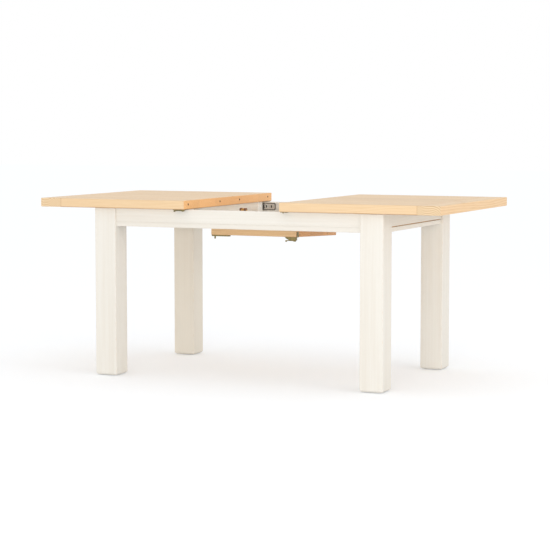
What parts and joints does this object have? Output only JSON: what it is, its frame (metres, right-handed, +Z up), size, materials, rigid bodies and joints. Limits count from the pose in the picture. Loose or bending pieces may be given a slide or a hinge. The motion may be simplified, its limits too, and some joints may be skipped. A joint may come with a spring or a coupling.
{
  "type": "extending dining table",
  "caption": "Extending dining table with square painted legs, sliding pine top halves standing open and a butterfly leaf folded under the gap.",
  "frame": {"origin": "on the floor, under the middle of the open table", "axes": "+X along the table's length, +Y to the side of the leaf's pivot, +Z up"},
  "size_m": [1.84, 0.9, 0.77],
  "materials": {
    "painted_pine": "whitewashed satin paint, faint brush marks",
    "oiled_pine": "oiled pine, satin",
    "raw_pine": "bare pine",
    "dark_hardwood": "stained hardwood, satin",
    "beech": "plain beech",
    "zinc_steel": "bright zinc-plated sheet steel",
    "yellow_zinc": "yellow zinc-plated steel",
    "brass": "plain brass",
    "white_plastic": "white nylon"
  },
  "bodies": {
    "frame": {"leg_front_left": "painted_pine", "leg_front_right": "painted_pine", "leg_back_left": "painted_pine", "leg_back_right": "painted_pine", "front_apron": "painted_pine", "back_apron": "painted_pine", "end_apron_left": "painted_pine", "end_apron_right": "painted_pine", "end_rail_left": "painted_pine", "end_rail_right": "painted_pine", "reveal_tongues": "raw_pine", "corner_braces": "painted_pine", "foot_glides": "white_plastic", "slide_pads": "white_plastic", "leaf_bearer_left": "painted_pine", "leaf_bearer_right": "painted_pine", "pivot_blocks": "dark_hardwood", "pivot_pins": "brass", "leaf_stops": "dark_hardwood", "runner_outers_left": "zinc_steel", "runner_outers_right": "zinc_steel"},
    "half_left": {"top_boards_left": "oiled_pine", "breadboard_left": "oiled_pine", "batten_left_back": "painted_pine", "batten_left_front": "painted_pine", "cross_batten_left": "painted_pine", "latch_bases_left": "yellow_zinc", "runner_inners_left": "zinc_steel"},
    "half_right": {"top_boards_right": "oiled_pine", "breadboard_right": "oiled_pine", "batten_right_back": "painted_pine", "batten_right_front": "painted_pine", "cross_batten_right": "painted_pine", "latch_keepers_right": "yellow_zinc", "runner_inners_right": "zinc_steel", "top_dowels_right": "beech"},
    "runners_left": {"runner_middles_left": "zinc_steel"},
    "runners_right": {"runner_middles_right": "zinc_steel"},
    "leaf_back": {"leaf_boards_back": "oiled_pine", "leaf_dowels_back": "beech", "fold_plates_back": "brass", "leaf_latch_base_back": "yellow_zinc", "leaf_keeper_back": "yellow_zinc", "leaf_arms": "dark_hardwood"},
    "fold_links": {"fold_links": "brass"},
    "leaf_front": {"leaf_boards_front": "oiled_pine", "leaf_dowels_front": "beech", "fold_plates_front": "brass", "leaf_latch_base_front": "yellow_zinc", "leaf_keeper_front": "yellow_zinc"},
    "lever_left_front": {"latch_lever_left_front": "yellow_zinc"},
    "lever_left_back": {"latch_lever_left_back": "yellow_zinc"},
    "lever_leaf_front": {"leaf_latch_lever_front": "yellow_zinc"},
    "lever_leaf_back": {"leaf_latch_lever_back": "yellow_zinc"}
  },
  "joints": [
    {"name": "left_half_slide", "type": "slide", "parent": "frame", "child": "half_left", "axis": [-1, 0, 0], "range_m": [-0.21975, 0]},
    {"name": "right_half_slide", "type": "slide", "parent": "frame", "child": "half_right", "axis": [1, 0, 0], "range_m": [-0.21975, 0]},
    {"name": "left_runner_slide", "type": "slide", "parent": "frame", "child": "runners_left", "axis": [-1, 0, 0], "range_m": [-0.10988, 0]},
    {"name": "right_runner_slide", "type": "slide", "parent": "frame", "child": "runners_right", "axis": [1, 0, 0], "range_m": [-0.10988, 0]},
    {"name": "leaf_swing", "type": "hinge", "parent": "frame", "child": "leaf_back", "pos_m": [0, 0.1125, 0.699], "axis": [-1, 0, 0], "range_deg": [0, 177.7]},
    {"name": "fold_link_turn", "type": "hinge", "parent": "leaf_back", "child": "fold_links", "pos_m": [0, 0.21893, 0.62667], "axis": [1, 0, 0], "range_deg": [0, 90]},
    {"name": "leaf_unfold", "type": "hinge", "parent": "fold_links", "child": "leaf_front", "pos_m": [0, 0.21867, 0.62018], "axis": [1, 0, 0], "range_deg": [0, 90]},
    {"name": "left_front_latch_turn", "type": "hinge", "parent": "half_left", "child": "lever_left_front", "pos_m": [-0.234, -0.432, 0.7272], "axis": [0, 0, 1], "range_deg": [0, 180]},
    {"name": "left_back_latch_turn", "type": "hinge", "parent": "half_left", "child": "lever_left_back", "pos_m": [-0.234, 0.432, 0.7272], "axis": [0, 0, -1], "range_deg": [0, 180]},
    {"name": "leaf_front_latch_turn", "type": "hinge", "parent": "leaf_front", "child": "lever_leaf_front", "pos_m": [0.186, -0.21133, 0.59761], "axis": [0, 0.0401, 0.9992], "range_deg": [0, 180]},
    {"name": "leaf_back_latch_turn", "type": "hinge", "parent": "leaf_back", "child": "lever_leaf_back", "pos_m": [0.186, -0.20787, 0.68364], "axis": [0, 0.0401, 0.9992], "range_deg": [0, 180]}
  ],
  "couplings": [
    {"joint": "left_runner_slide", "follows": "left_half_slide", "ratio": 0.5},
    {"joint": "right_runner_slide", "follows": "right_half_slide", "ratio": 0.5}
  ]
}
